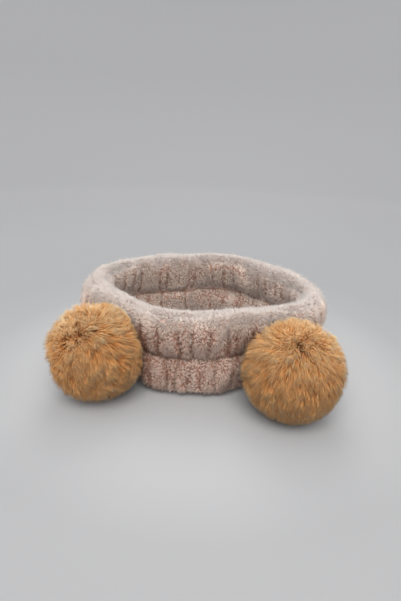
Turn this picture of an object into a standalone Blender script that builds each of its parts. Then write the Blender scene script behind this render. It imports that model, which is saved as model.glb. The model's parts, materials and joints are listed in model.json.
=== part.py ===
"""Padded plush headband with two fur pom-pom ears, lying on its lower edge.

The band is a tube of fleece sewn into a ring. A line of stitching at mid height
splits it into an upper and a lower padded roll, with an elastic tape between the
two faces of the fleece. Each ear is a stuffed ball of long-pile fur, gathered at
its mouth, closed with a felt disc and tacked to the crease with one bundle of
thread. The front of the headband faces -Y and +Z is up.
"""
import math

import bmesh
import bpy
from mathutils import Matrix, Vector

MM = 0.001

# The ring seen from above: mean radius of its middle line, and how far it is
# drawn out or pinched in (lobe count, cosine part, sine part).
RING_RADIUS = 86.9 * MM
RING_LOBES = (
    (2, 8.0 * MM, -0.4 * MM),
    (3, -0.8 * MM, -1.5 * MM),
    (4, 3.4 * MM, -3.8 * MM),
)
STATIONS = 48
JOIN_ANGLE = math.radians(90)

# The band's section: "out" is measured from the middle line, "height" from the table.
BAND_HEIGHT = 74 * MM
CREASE_HEIGHT = 35 * MM
CREASE_HALF_DEPTH = 6 * MM
UPPER_HALF_THICKNESS = 12 * MM
LOWER_HALF_THICKNESS = 10 * MM
FOOT_HALF_WIDTH = 6.4 * MM
ROLL_SQUARENESS = 2.3
FLEECE_THICKNESS = 2.8 * MM
FLEECE_AT_CREASE = 2.2 * MM
SLIT_ANGLES = (206, 214)

PADDING_CLEARANCE = 1.0 * MM
TAPE_WIDTH = 9 * MM
TAPE_THICKNESS = 1.0 * MM
PADDING_END_GAP = 3 * MM
THREAD_RADIUS = 0.4 * MM
TOUCH_GAP = 0.3 * MM

# The ears: where each is tacked round the ring, and how far the ball's middle
# stands out from the ring's middle line.
EARS = (
    ("left", math.radians(233), 36.6 * MM),
    ("right", math.radians(317), 40.8 * MM),
)
BALL_RADIUS = 38.5 * MM
BALL_HEIGHT = 39.2 * MM
CORE_RADIUS = 24 * MM
STUFFING_RADIUS = 23.4 * MM
MOUTH_RADIUS = 5.5 * MM
DISC_RADIUS = 6.5 * MM
DISC_HOLE_RADIUS = 1.7 * MM
DISC_THICKNESS = 1.0 * MM
DISC_STANDOFF = 7.5 * MM
BACK_CONE_SLOPE = 0.42
BACK_FLAT_RADIUS = 7.5 * MM
GATHER_RADIUS = 4.6 * MM
GATHER_THREAD_RADIUS = 0.5 * MM

# The tack goes through the fleece just above the crease stitches.
TACK_HEIGHT = 38.2 * MM
TACK_OUT = 7.5 * MM
TACK_RADIUS = 1.1 * MM
TACK_HOLE_RADIUS = 1.7 * MM
KNOT_RADIUS = 1.8 * MM
KNOT_OUT = (1.4 * MM, 2.0 * MM)
PATCH_RADIUS = 4.2 * MM
PATCH_HOLE_RADIUS = 1.9 * MM
PATCH_OUT = (2.7 * MM, 3.2 * MM)

# The band leans in behind each ear, most at the table and not at all at the rim.
EAR_DENT = 14 * MM
EAR_DENT_HALF_ANGLE = math.radians(13)

COLOURS = {
    "fleece": (0.80, 0.62, 0.58),
    "wadding": (0.93, 0.92, 0.90),
    "elastic": (0.90, 0.89, 0.87),
    "thread": (0.72, 0.52, 0.48),
    "fur": (0.72, 0.44, 0.20),
    "felt": (0.66, 0.43, 0.24),
    "patch": (0.85, 0.80, 0.77),
}
ROUGHNESS = 0.95


# ---------------------------------------------------------------- scene helpers
def clear_scene():
    for item in list(bpy.data.objects):
        bpy.data.objects.remove(item, do_unlink=True)


def material(name):
    found = bpy.data.materials.get(name)
    if found:
        return found
    made = bpy.data.materials.new(name)
    made.use_nodes = True
    shader = made.node_tree.nodes["Principled BSDF"]
    shader.inputs["Base Color"].default_value = (*COLOURS[name], 1.0)
    shader.inputs["Roughness"].default_value = ROUGHNESS
    shader.inputs["Metallic"].default_value = 0.0
    return made


def add_object(name, mesh, material_name, parent):
    mesh.materials.append(material(material_name))
    mesh.shade_smooth()
    mesh.set_sharp_from_angle(angle=math.radians(50))
    made = bpy.data.objects.new(name, mesh)
    bpy.context.collection.objects.link(made)
    made.parent = parent
    return made


def add_empty(name, parent=None, matrix=Matrix.Identity(4)):
    made = bpy.data.objects.new(name, None)
    bpy.context.collection.objects.link(made)
    made.parent = parent
    made.matrix_local = matrix
    return made


def finished_mesh(name, bm):
    bmesh.ops.recalc_face_normals(bm, faces=bm.faces)
    mesh = bpy.data.meshes.new(name)
    bm.to_mesh(mesh)
    bm.free()
    return mesh


# ---------------------------------------------------------------- the ring's shape
def middle_line(angle):
    radius = RING_RADIUS
    for count, cosine, sine in RING_LOBES:
        radius += cosine * math.cos(count * angle) + sine * math.sin(count * angle)
    return Vector((radius * math.cos(angle), radius * math.sin(angle), 0.0))


def along_ring(angle):
    step = 1e-4
    return (middle_line(angle + step) - middle_line(angle - step)) / (2 * step)


def outward(angle):
    tangent = along_ring(angle).normalized()
    return Vector((tangent.y, -tangent.x, 0.0))


def dent(angle, height):
    depth = 0.0
    for _, ear_angle, _ in EARS:
        offset = math.remainder(angle - ear_angle, 2 * math.pi) / EAR_DENT_HALF_ANGLE
        depth += EAR_DENT * math.exp(-0.5 * offset * offset)
    return depth * (1 - height / BAND_HEIGHT)


def band_point(angle, out, height):
    point = middle_line(angle) + outward(angle) * (out - dent(angle, height))
    point.z = height
    return point


# ---------------------------------------------------------------- body makers
def ring_mesh(name, section, end_gap=0.0):
    """Sweep a closed section round the ring; end_gap leaves it open at the join."""
    bm = bmesh.new()
    half_gap = 0.5 * end_gap / along_ring(JOIN_ANGLE).length
    span = 2 * math.pi - 2 * half_gap
    count = STATIONS + (1 if end_gap else 0)
    loops = []
    for index in range(count):
        angle = JOIN_ANGLE + half_gap + span * index / STATIONS
        loops.append([bm.verts.new(band_point(angle, *point)) for point in section])
    pairs = list(zip(loops, loops[1:]))
    if not end_gap:
        pairs.append((loops[-1], loops[0]))
    for here, there in pairs:
        for a in range(len(section)):
            b = (a + 1) % len(section)
            bm.faces.new((here[a], here[b], there[b], there[a]))
    if end_gap:
        bm.faces.new(loops[0])
        bm.faces.new(reversed(loops[-1]))
    return finished_mesh(name, bm)


def turned_mesh(name, profile, segments, closed=False):
    """Turn (radius, along) points about local Z; zero radius makes a pole."""
    bm = bmesh.new()
    rows = []
    for radius, along in profile:
        if radius == 0.0:
            rows.append([bm.verts.new((0.0, 0.0, along))] * segments)
            continue
        turns = [2 * math.pi * k / segments for k in range(segments)]
        rows.append([
            bm.verts.new((radius * math.cos(t), radius * math.sin(t), along)) for t in turns
        ])
    pairs = list(zip(rows, rows[1:]))
    if closed:
        pairs.append((rows[-1], rows[0]))
    for low, high in pairs:
        for k in range(segments):
            n = (k + 1) % segments
            corners = [low[k], low[n], high[n], high[k]]
            bm.faces.new(list(dict.fromkeys(corners)))
    return finished_mesh(name, bm)


def tube_mesh(name, path, radius, sides=5):
    """A closed loop of thread along a list of points."""
    bm = bmesh.new()
    rows = []
    count = len(path)
    for index, point in enumerate(path):
        tangent = (path[(index + 1) % count] - path[index - 1]).normalized()
        side = outward(JOIN_ANGLE).cross(Vector((0, 0, 1))).normalized()
        normal = tangent.cross(side).normalized()
        row = []
        for k in range(sides):
            turn = 2 * math.pi * k / sides
            row.append(bm.verts.new(
                point + radius * (math.cos(turn) * side + math.sin(turn) * normal)))
        rows.append(row)
    for index in range(count):
        here, there = rows[index], rows[(index + 1) % count]
        for k in range(sides):
            n = (k + 1) % sides
            bm.faces.new((here[k], here[n], there[n], there[k]))
    return finished_mesh(name, bm)


# ---------------------------------------------------------------- band sections
def roll_point(centre, half_width, half_height, degrees):
    """A point on a rounded-rectangle roll; 0 degrees is its outer side, 90 its top."""
    power = 2 / ROLL_SQUARENESS
    cosine = math.cos(math.radians(degrees))
    sine = math.sin(math.radians(degrees))
    out = math.copysign(abs(cosine) ** power, cosine) * half_width
    return out, centre + math.copysign(abs(sine) ** power, sine) * half_height


def cover_outline(inset, crease_out):
    """The fleece's section from the lip under the slit round to the lip above it."""
    upper_centre = (CREASE_HEIGHT + BAND_HEIGHT) / 2
    upper = (upper_centre, UPPER_HALF_THICKNESS - inset, BAND_HEIGHT - upper_centre - inset)
    lower_centre = CREASE_HEIGHT / 2
    lower = (lower_centre, LOWER_HALF_THICKNESS - inset, lower_centre - inset)
    foot = FOOT_HALF_WIDTH - inset / 2
    points = [roll_point(*lower, SLIT_ANGLES[1])]
    points += [(-foot, inset), (foot, inset)]
    points += [roll_point(*lower, degrees) for degrees in (-28, 10, 48)]
    points.append((crease_out, CREASE_HEIGHT))
    points += [roll_point(*upper, degrees) for degrees in range(-48, 229, 23)]
    points.append((-crease_out, CREASE_HEIGHT))
    points += [roll_point(*lower, degrees) for degrees in (132, 170, SLIT_ANGLES[0])]
    return points


def cover_section():
    outer = cover_outline(0.0, CREASE_HALF_DEPTH)
    inner = cover_outline(FLEECE_THICKNESS, CREASE_HALF_DEPTH - FLEECE_AT_CREASE)
    return outer + inner[::-1]


def padding_section(low, high, half_thickness):
    centre = (low + high) / 2
    half_height = (high - low) / 2
    return [roll_point(centre, half_thickness, half_height, degrees)
            for degrees in range(0, 360, 36)]


def rectangle_section(out, height, thickness, width):
    half_out, half_up = thickness / 2, width / 2
    return [(out - half_out, height - half_up), (out + half_out, height - half_up),
            (out + half_out, height + half_up), (out - half_out, height + half_up)]


def thread_section(out, height):
    return [(out + THREAD_RADIUS * math.cos(turn), height + THREAD_RADIUS * math.sin(turn))
            for turn in (0.0, math.pi / 2, math.pi, 1.5 * math.pi)]


# ---------------------------------------------------------------- band pieces
def make_cover(band):
    return add_object("fleece_cover", ring_mesh("fleece_cover", cover_section()), "fleece", band)


def make_padding(band):
    inset = FLEECE_THICKNESS + PADDING_CLEARANCE
    above_patch = TACK_HEIGHT + PATCH_RADIUS + PADDING_CLEARANCE
    under_tape = CREASE_HEIGHT - TAPE_WIDTH / 2 - PADDING_CLEARANCE
    rolls = (
        ("upper_padding", above_patch, BAND_HEIGHT - inset, UPPER_HALF_THICKNESS - inset),
        ("lower_padding", inset, under_tape, LOWER_HALF_THICKNESS - inset),
    )
    for name, low, high, half_thickness in rolls:
        section = padding_section(low, high, half_thickness)
        add_object(name, ring_mesh(name, section, PADDING_END_GAP), "wadding", band)


def make_tape(band):
    section = rectangle_section(0.0, CREASE_HEIGHT, TAPE_THICKNESS, TAPE_WIDTH)
    add_object("elastic_tape", ring_mesh("elastic_tape", section), "elastic", band)


def make_stitches(band):
    crease = CREASE_HALF_DEPTH + TOUCH_GAP + THREAD_RADIUS
    lips = [roll_point(CREASE_HEIGHT / 2, LOWER_HALF_THICKNESS - FLEECE_THICKNESS / 2,
                       CREASE_HEIGHT / 2 - FLEECE_THICKNESS / 2, degrees)
            for degrees in SLIT_ANGLES]
    slit_out = (lips[0][0] + lips[1][0]) / 2
    slit_height = (lips[0][1] + lips[1][1]) / 2
    places = (
        ("crease_stitch_outer", crease, CREASE_HEIGHT),
        ("crease_stitch_inner", -crease, CREASE_HEIGHT),
        ("closing_stitch", slit_out, slit_height),
    )
    for name, out, height in places:
        add_object(name, ring_mesh(name, thread_section(out, height)), "thread", band)


def make_join_stitch(band):
    inset = FLEECE_THICKNESS + TOUCH_GAP + 2 * THREAD_RADIUS
    crease_out = CREASE_HALF_DEPTH - FLEECE_AT_CREASE - TOUCH_GAP - 2 * THREAD_RADIUS
    path = [band_point(JOIN_ANGLE, *point) for point in cover_outline(inset, crease_out)]
    add_object("join_stitch", tube_mesh("join_stitch", path, THREAD_RADIUS), "thread", band)


# ---------------------------------------------------------------- ears
def ball_centre(ear_angle, standoff):
    centre = middle_line(ear_angle) + outward(ear_angle) * standoff
    centre.z = BALL_HEIGHT
    return centre


def tack_frame(ear_angle, standoff):
    """A frame on the fleece: local Z runs to the ball's middle, local Y points up."""
    start = band_point(ear_angle, TACK_OUT, TACK_HEIGHT)
    reach = ball_centre(ear_angle, standoff) - start
    axis = reach.normalized()
    across = Vector((0, 0, 1)).cross(axis).normalized()
    up = axis.cross(across)
    rotation = Matrix((across, up, axis)).transposed().to_4x4()
    return Matrix.Translation(start) @ rotation, reach.length


def make_patch(side, ear_angle, band):
    """A felt washer inside the fleece that spreads the tack's pull."""
    bm = bmesh.new()
    segments = 16
    per_angle = along_ring(ear_angle).length
    rows = []
    corners = ((PATCH_HOLE_RADIUS, 0), (PATCH_RADIUS, 0), (PATCH_RADIUS, 1), (PATCH_HOLE_RADIUS, 1))
    for radius, face in corners:
        row = []
        for k in range(segments):
            turn = 2 * math.pi * k / segments
            angle = ear_angle + radius * math.cos(turn) / per_angle
            height = TACK_HEIGHT + radius * math.sin(turn)
            row.append(bm.verts.new(band_point(angle, PATCH_OUT[face], height)))
        rows.append(row)
    for low, high in zip(rows, rows[1:] + rows[:1]):
        for k in range(segments):
            n = (k + 1) % segments
            bm.faces.new((low[k], low[n], high[n], high[k]))
    name = f"{side}_tack_patch"
    add_object(name, finished_mesh(name, bm), "patch", band)


def cut_tack_hole(side, cover, band, frame):
    """Pierce the outer face of the fleece where the tack goes through."""
    length = 9 * MM
    profile = [(0.0, -length / 2), (TACK_HOLE_RADIUS, -length / 2),
               (TACK_HOLE_RADIUS, length / 2), (0.0, length / 2)]
    cutter = add_object(f"{side}_hole_cutter", turned_mesh("hole_cutter", profile, 12),
                        "thread", band)
    cutter.matrix_local = frame
    cutter.hide_render = True
    cutter.display_type = "WIRE"
    cut = cover.modifiers.new(f"{side}_tack_hole", "BOOLEAN")
    cut.operation = "DIFFERENCE"
    cut.solver = "EXACT"
    cut.object = cutter


def make_tack(side, pivot):
    """One bundle of thread with a flat knot inside the band and one in the ball."""
    inner_knot = (KNOT_OUT[0] - TACK_OUT, KNOT_OUT[1] - TACK_OUT)
    outer_knot = (DISC_STANDOFF + 1.6 * MM, DISC_STANDOFF + 2.8 * MM)
    profile = [
        (0.0, inner_knot[0]), (KNOT_RADIUS, inner_knot[0]), (KNOT_RADIUS, inner_knot[1]),
        (TACK_RADIUS, inner_knot[1]), (TACK_RADIUS, outer_knot[0]),
        (KNOT_RADIUS, outer_knot[0]), (KNOT_RADIUS, outer_knot[1]), (0.0, outer_knot[1]),
    ]
    name = f"{side}_tack_thread"
    add_object(name, turned_mesh(name, profile, 12), "thread", pivot)


def fur_profile(reach):
    """Ball of fur: a sphere with a blunt cone at its back, and a hollow core."""
    back = DISC_THICKNESS / 2 + TOUCH_GAP
    centre = reach - DISC_STANDOFF
    points = [(0.0, centre + BALL_RADIUS)]
    for degrees in range(12, 169, 12):
        turn = math.radians(degrees)
        radius = BALL_RADIUS * math.sin(turn)
        cone = back + BACK_CONE_SLOPE * (radius - BACK_FLAT_RADIUS)
        points.append((radius, max(centre + BALL_RADIUS * math.cos(turn), cone)))
    points += [(BACK_FLAT_RADIUS, back), (MOUTH_RADIUS, back)]
    mouth_angle = math.pi - math.asin(MOUTH_RADIUS / CORE_RADIUS)
    steps = 8
    for step in range(steps):
        turn = mouth_angle * (1 - step / steps)
        points.append((CORE_RADIUS * math.sin(turn), centre + CORE_RADIUS * math.cos(turn)))
    points.append((0.0, centre + CORE_RADIUS))
    return points


def stuffing_profile(reach):
    centre = reach - DISC_STANDOFF
    points = []
    steps = 9
    for step in range(steps + 1):
        turn = math.pi * step / steps
        radius = 0.0 if step in (0, steps) else STUFFING_RADIUS * math.sin(turn)
        points.append((radius, centre + STUFFING_RADIUS * math.cos(turn)))
    return points


def make_ball(side, reach, pivot):
    name = f"{side}_fur_cover"
    add_object(name, turned_mesh(name, fur_profile(reach), 24), "fur", pivot)
    name = f"{side}_stuffing"
    add_object(name, turned_mesh(name, stuffing_profile(reach), 20), "wadding", pivot)

    half = DISC_THICKNESS / 2
    washer = [(DISC_HOLE_RADIUS, -half), (DISC_RADIUS, -half),
              (DISC_RADIUS, half), (DISC_HOLE_RADIUS, half)]
    name = f"{side}_backing_disc"
    add_object(name, turned_mesh(name, washer, 20, closed=True), "felt", pivot)

    height = DISC_THICKNESS / 2 + TOUCH_GAP + 1.5 * MM
    loop = [(GATHER_RADIUS + GATHER_THREAD_RADIUS * math.cos(math.radians(d)),
             height + GATHER_THREAD_RADIUS * math.sin(math.radians(d)))
            for d in range(0, 360, 60)]
    name = f"{side}_gathering_thread"
    add_object(name, turned_mesh(name, loop, 18, closed=True), "thread", pivot)


def make_ear(side, ear_angle, standoff, band, cover):
    frame, reach = tack_frame(ear_angle, standoff)
    make_patch(side, ear_angle, band)
    cut_tack_hole(side, cover, band, frame)
    tack_pivot = add_empty(f"{side}_tack_pivot", band, frame)
    make_tack(side, tack_pivot)
    ear_pivot = add_empty(f"{side}_ear_pivot", tack_pivot,
                          Matrix.Translation((0, 0, DISC_STANDOFF)))
    make_ball(side, reach, ear_pivot)


# ---------------------------------------------------------------- placing
def centre_on_origin(band):
    """Move the whole headband so that the middle of its footprint is the origin."""
    bpy.context.view_layer.update()
    points = [item.matrix_world @ vertex.co for item in bpy.data.objects
              if item.type == "MESH" and not item.hide_render
              for vertex in item.data.vertices]
    for axis in (0, 1):
        values = [point[axis] for point in points]
        band.location[axis] = -(min(values) + max(values)) / 2


def build():
    clear_scene()
    band = add_empty("headband")
    cover = make_cover(band)
    make_padding(band)
    make_tape(band)
    make_stitches(band)
    make_join_stitch(band)
    for side, ear_angle, standoff in EARS:
        make_ear(side, ear_angle, standoff, band, cover)
    centre_on_origin(band)


build()
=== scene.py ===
"""Looks of the plush headband: ribbed fleece rolls and two long-pile fur pom-pom ears."""
import json
import math

import bpy
import numpy as np
from mathutils import Matrix, Vector
from mathutils.kdtree import KDTree


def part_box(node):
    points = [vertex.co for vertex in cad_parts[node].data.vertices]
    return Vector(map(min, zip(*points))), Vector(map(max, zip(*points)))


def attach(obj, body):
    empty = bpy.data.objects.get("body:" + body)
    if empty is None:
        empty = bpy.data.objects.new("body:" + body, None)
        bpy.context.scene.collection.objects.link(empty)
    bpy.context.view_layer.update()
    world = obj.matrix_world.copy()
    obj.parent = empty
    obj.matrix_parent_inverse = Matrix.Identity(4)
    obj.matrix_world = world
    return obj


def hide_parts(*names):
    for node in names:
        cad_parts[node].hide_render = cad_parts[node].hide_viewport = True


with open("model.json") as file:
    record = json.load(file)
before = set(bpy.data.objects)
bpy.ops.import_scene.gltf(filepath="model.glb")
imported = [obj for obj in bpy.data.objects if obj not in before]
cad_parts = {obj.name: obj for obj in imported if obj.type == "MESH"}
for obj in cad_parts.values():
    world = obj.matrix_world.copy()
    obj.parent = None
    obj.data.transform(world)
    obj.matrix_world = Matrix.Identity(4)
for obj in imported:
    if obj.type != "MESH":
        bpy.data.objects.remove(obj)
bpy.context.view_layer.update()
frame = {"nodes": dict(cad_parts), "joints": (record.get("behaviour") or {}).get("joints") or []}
NODES = frame["nodes"]
JOINTS = {joint["name"]: joint for joint in frame["joints"]}

MM = 0.001
TAU = 2 * math.pi
SIDES = ("left", "right")

# The ring seen from above, as in the part: mean radius and lobes (count, cosine, sine).
RING_RADIUS = 86.9 * MM
RING_LOBES = (
    (2, 8.0 * MM, -0.4 * MM),
    (3, -0.8 * MM, -1.5 * MM),
    (4, 3.4 * MM, -3.8 * MM),
)
RING_LENGTH = 558 * MM

# The fleece backing's section. The pile stands on it and reaches the part's outline.
CREASE_HEIGHT = 35 * MM
CREASE_HALF_DEPTH = 3.4 * MM
UPPER_ROLL = (54.3 * MM, 8.8 * MM, 17.1 * MM)
LOWER_ROLL = (17.6 * MM, 7.0 * MM, 14.8 * MM)
ROLL_SQUARENESS = 2.3
FOOT_HEIGHT = 1.4 * MM
COLUMNS = 280
JOIN_ANGLE = math.radians(90)

# The band leans in behind each ear, most at the table and not at all at the rim.
BAND_HEIGHT = 74 * MM
EAR_ANGLES = (math.radians(233), math.radians(317))
EAR_DENT = 14 * MM
EAR_DENT_HALF_ANGLE = math.radians(13)

# Simulated padding.
PADDING_PRESSURE = 4.0
PADDING_SWELL, PADDING_SINK, PADDING_SLIP = 2.4 * MM, 0.6 * MM, 1.2 * MM
SIMULATED_FRAMES = 20
WADDING_INSET = 1.6 * MM

# Crease stitches.
STITCH_PITCH = 3.2 * MM
STITCH_LENGTH = 2.7 * MM
STITCH_RADIUS = 0.35 * MM

# Fleece pile.
FLEECE_COATS = (  # name, fibres per square mm, length, radius, gathering, tone, in regions
    ("pile", 4.3, 3.8 * MM, 0.235 * MM, 0.72, 0.0, True),
    ("fuzz", 0.35, 5.8 * MM, 0.13 * MM, 0.2, 0.25, False),
)
TUFT_SPACING = 1.55 * MM
FURROW_SHADE_WIDTH = 2.2 * MM
GROOVE_DEPTH = 4.4 * MM
GROOVE_HALF_WIDTH = 1.25 * MM
SEAM_DEPTH = 2.8 * MM
ROOT_DEPTH = 0.4 * MM
RIM_BAND = (57 * MM, 68 * MM)

# The left side of the upper roll is squeezed out a little over the ear.
SIDE_BULGE = 6.0 * MM
SIDE_BULGE_ANGLE = math.radians(195)
SIDE_BULGE_HALF_ANGLE = math.radians(22)
SIDE_BULGE_HEIGHT, SIDE_BULGE_HALF_HEIGHT = 46 * MM, 17 * MM

# Between the ears the lower roll is squared off: its corners stand out at the foot.
CORNER_BULGES = (  # angle, half angle, how far
    (math.radians(249), math.radians(8), 6.0 * MM),
    (math.radians(290), math.radians(5), 4.5 * MM),
)

# The round stage: how far it is flat, the radius of its upturned rim, and how high its wall goes.
STAGE_RADIUS, STAGE_BEND, STAGE_WALL = 1.1, 0.35, 1.5
# How pale the stage is, falling off outward as a painted pool of light, and how much it glows as
# painted light, from the middle (0) to where its rim bends (1).
STAGE_PAINTED_LIGHT_GREYS = ((0.0, 0.34), (0.1, 0.32), (0.15, 0.29), (0.19, 0.25), (0.45, 0.2), (0.9, 0.09))
STAGE_PAINTED_GLOW = ((0.25, 0.0), (0.9, 0.3), (1.0, 0.3))

# Fur.
SKIN_RADIUS = 25.0 * MM
FUR_TIP_RADIUS = 38.3 * MM
LOCK_COUNT = 1000
FUR_LEAN = 0.36
FUR_SWIRL, LOCK_SCATTER, STRAND_SCATTER = 0.35, 0.5, 0.32
FUR_NAPS = {"left": np.array([0.35, 0.0, -0.85]), "right": np.array([-0.15, 0.0, -0.95])}
FUR_COATS = (  # name, strands, reach, how far they gather, radius, tone
    ("undercoat", 12400, 0.90, 0.35, 0.52 * MM, -0.08),
    ("middle_pile", 12400, 0.95, 0.6, 0.32 * MM, 0.0),
    ("long_pile", 12000, 1.0, 0.8, 0.24 * MM, 0.05),
    ("top_pile", 8000, 1.0, 0.65, 0.20 * MM, 0.12),
    ("flyaway_hairs", 2500, 1.045, 0.15, 0.13 * MM, 0.25),
)
BACK_CONE_SLOPE = 0.26
BACK_FLAT_RADIUS = 7.5 * MM
BARE_HALF_ANGLE = math.radians(15)
MOUTH_HALF_ANGLE = math.radians(13)
SKIN_THICKNESS = 0.8 * MM
PUCKERS, PUCKER_DEPTH = 18, 0.03

# Lights: name, place, where it points, disc size, watts, colour.
COOL, WARM = (0.90, 0.96, 1.0), (1.0, 0.975, 0.94)
LIGHTS = (
    ("overhead", (-0.05, 0.1, 1.2), (0, 0, 0), 1.2, 3.5, COOL),
    ("high_front", (0.1, -0.95, 1.05), (0, 0, 0.03), 1.1, 25.0, WARM),
    ("high_back", (-0.1, 0.95, 1.05), (0, 0, 0.03), 0.9, 9.0, WARM),
    ("left_fill", (-1.0, -0.1, 0.5), (0, 0, 0.03), 0.8, 2.5, COOL),
    ("right_fill", (1.0, -0.1, 0.5), (0, 0, 0.03), 0.8, 2.0, COOL),
)
AIR_COLOUR, AIR_STRENGTH = (0.60, 0.615, 0.63), 1.2

# The camera: how it looks at a point above the ring's centre, and its lens.
CAMERA_AZIMUTH, CAMERA_ELEVATION, CAMERA_ROLL = (math.radians(a) for a in (6.92, 21.64, 2.05))
CAMERA_DISTANCE = 447.82 * MM
CAMERA_TARGET = (-2.12 * MM, 0, 50.63 * MM)
CAMERA_LENS, CAMERA_SENSOR = 28.28, 36.0


# ---------------------------------------------------------------- numbers
def unit(vectors):
    length = np.linalg.norm(vectors, axis=-1, keepdims=True)
    return vectors / np.maximum(length, 1e-12)


def tangent_part(vectors, normals):
    return vectors - normals * np.sum(vectors * normals, axis=-1, keepdims=True)


def wave_noise(points, size, seed, waves=14):
    """Smooth noise of unit spread whose lumps are about size across."""
    rng = np.random.default_rng(seed)
    total = np.zeros(points.shape[:-1])
    for _ in range(waves):
        direction = unit(rng.normal(size=3))
        frequency = math.pi / size * rng.uniform(0.55, 1.5)
        total += np.sin(points @ direction * frequency + rng.uniform(0, TAU))
    return total / math.sqrt(waves / 2)


def noise_vectors(points, size, seed):
    return np.stack([wave_noise(points, size, seed + k) for k in range(3)], axis=-1)


def smooth_step(low, high, value):
    t = np.clip((value - low) / (high - low), 0, 1)
    return t * t * (3 - 2 * t)


def turn_from(angle, place):
    """The signed angle from place to angle, within half a turn."""
    return (angle - place + math.pi) % TAU - math.pi


def bell(distance, half_width):
    return np.exp(-(distance / half_width) ** 2)


# ---------------------------------------------------------------- the ring
def ring_offset(angle):
    radius = RING_RADIUS + sum(c * np.cos(n * angle) + s * np.sin(n * angle)
                               for n, c, s in RING_LOBES)
    return np.stack((radius * np.cos(angle), radius * np.sin(angle), 0 * angle), axis=-1)


def ring_centre():
    """Where the ring's own centre lies, from the tape that runs along its middle line."""
    low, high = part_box("elastic_tape")
    line = ring_offset(np.linspace(0, TAU, 721))
    middle = (line.min(axis=0) + line.max(axis=0)) / 2
    return np.array([(low.x + high.x) / 2 - middle[0], (low.y + high.y) / 2 - middle[1], 0.0])


RING_CENTRE = ring_centre()


def outward(angle):
    step = 1e-4
    along = unit(ring_offset(angle + step) - ring_offset(angle - step))
    return np.stack((along[..., 1], -along[..., 0], 0 * angle), axis=-1)


def ear_dent(angle, height):
    depth = 0.0
    for ear_angle in EAR_ANGLES:
        offset = turn_from(angle, ear_angle)
        depth = depth + EAR_DENT * np.exp(-0.5 * (offset / EAR_DENT_HALF_ANGLE) ** 2)
    return depth * np.clip(1 - height / BAND_HEIGHT, 0, 1)


def ear_shade(angle, height):
    """How much painted shade the pile behind each ear gets: 1 at the ears, 0 away from the ears and
    at the rim.
    """
    shade = 0.0
    for ear_angle in EAR_ANGLES:
        offset = turn_from(angle, ear_angle)
        shade = shade + np.exp(-0.5 * (offset / EAR_DENT_HALF_ANGLE) ** 2)
    return shade * (1 - smooth_step(50 * MM, 66 * MM, height))


def band_point(angle, out, height):
    place = RING_CENTRE + ring_offset(angle)
    place = place + outward(angle) * (out - ear_dent(angle, height))[..., None]
    place[..., 2] = height
    return place


# ---------------------------------------------------------------- meshes
def link(mesh, name, material):
    mesh.materials.append(material)
    made = bpy.data.objects.new(name, mesh)
    bpy.context.scene.collection.objects.link(made)
    return made


def grid_mesh(name, grid):
    """A closed ring of quads from positions[column, row]."""
    columns, rows, _ = grid.shape
    index = np.arange(columns * rows).reshape(columns, rows)
    across = np.roll(index, -1, axis=0)
    faces = np.stack((index, across, np.roll(across, -1, axis=1), np.roll(index, -1, axis=1)),
                     axis=-1).reshape(-1, 4)
    return mesh_from(name, grid.reshape(-1, 3), faces)


def mesh_from(name, points, faces):
    count, sides = faces.shape
    mesh = bpy.data.meshes.new(name)
    mesh.vertices.add(len(points))
    mesh.vertices.foreach_set("co", np.ascontiguousarray(points, np.float32).ravel())
    mesh.loops.add(count * sides)
    mesh.loops.foreach_set("vertex_index", np.ascontiguousarray(faces, np.int32).ravel())
    mesh.polygons.add(count)
    mesh.polygons.foreach_set("loop_start", np.arange(count, dtype=np.int32) * sides)
    mesh.update(calc_edges=True)
    mesh.shade_smooth()
    return mesh


def strand_mesh(name, lines, widths, tones, side_hint, first_shade=0.0):
    """Closed three-sided strands that taper to a point. lines is [strand, step, xyz].

    The map's U is a strand's tone. Its V runs along the strand, from first_shade to 1.
    """
    count, steps, _ = lines.shape
    forward = unit(lines[:, 1:] - lines[:, :-1])
    side = unit(np.cross(forward, side_hint[:, None, :]))
    other = np.cross(forward, side)
    rings = []
    for step in range(steps - 1):
        for k in range(3):
            turn = TAU * k / 3
            reach = (math.cos(turn) * side[:, step] + math.sin(turn) * other[:, step])
            rings.append(lines[:, step] + reach * widths[:, step, None])
    rings.append(lines[:, -1])
    points = np.stack(rings, axis=1)
    per_strand = points.shape[1]
    pattern = [(0, 2, 1)]
    for step in range(steps - 2):
        for k in range(3):
            n = (k + 1) % 3
            low, high = 3 * step, 3 * step + 3
            pattern += [(low + k, low + n, high + n), (low + k, high + n, high + k)]
    tip, last = per_strand - 1, per_strand - 4
    pattern += [(last + k, last + (k + 1) % 3, tip) for k in range(3)]
    pattern = np.array(pattern)
    start = (np.arange(count) * per_strand)[:, None, None]
    mesh = mesh_from(name, points.reshape(-1, 3), (pattern[None] + start).reshape(-1, 3))
    along = np.repeat(np.arange(steps) / (steps - 1), 3)[:per_strand]
    along[-1] = 1.0
    first_shade = np.broadcast_to(first_shade, (count,))[:, None]
    shade = first_shade + (1 - first_shade) * along[None]
    spread = np.stack((np.repeat(tones[:, None], per_strand, axis=1), shade), axis=-1)
    corners = spread[:, pattern.ravel()].reshape(-1, 2)
    layer = mesh.uv_layers.new(name="OFBake")
    layer.data.foreach_set("uv", np.ascontiguousarray(corners, np.float32).ravel())
    return mesh


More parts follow.
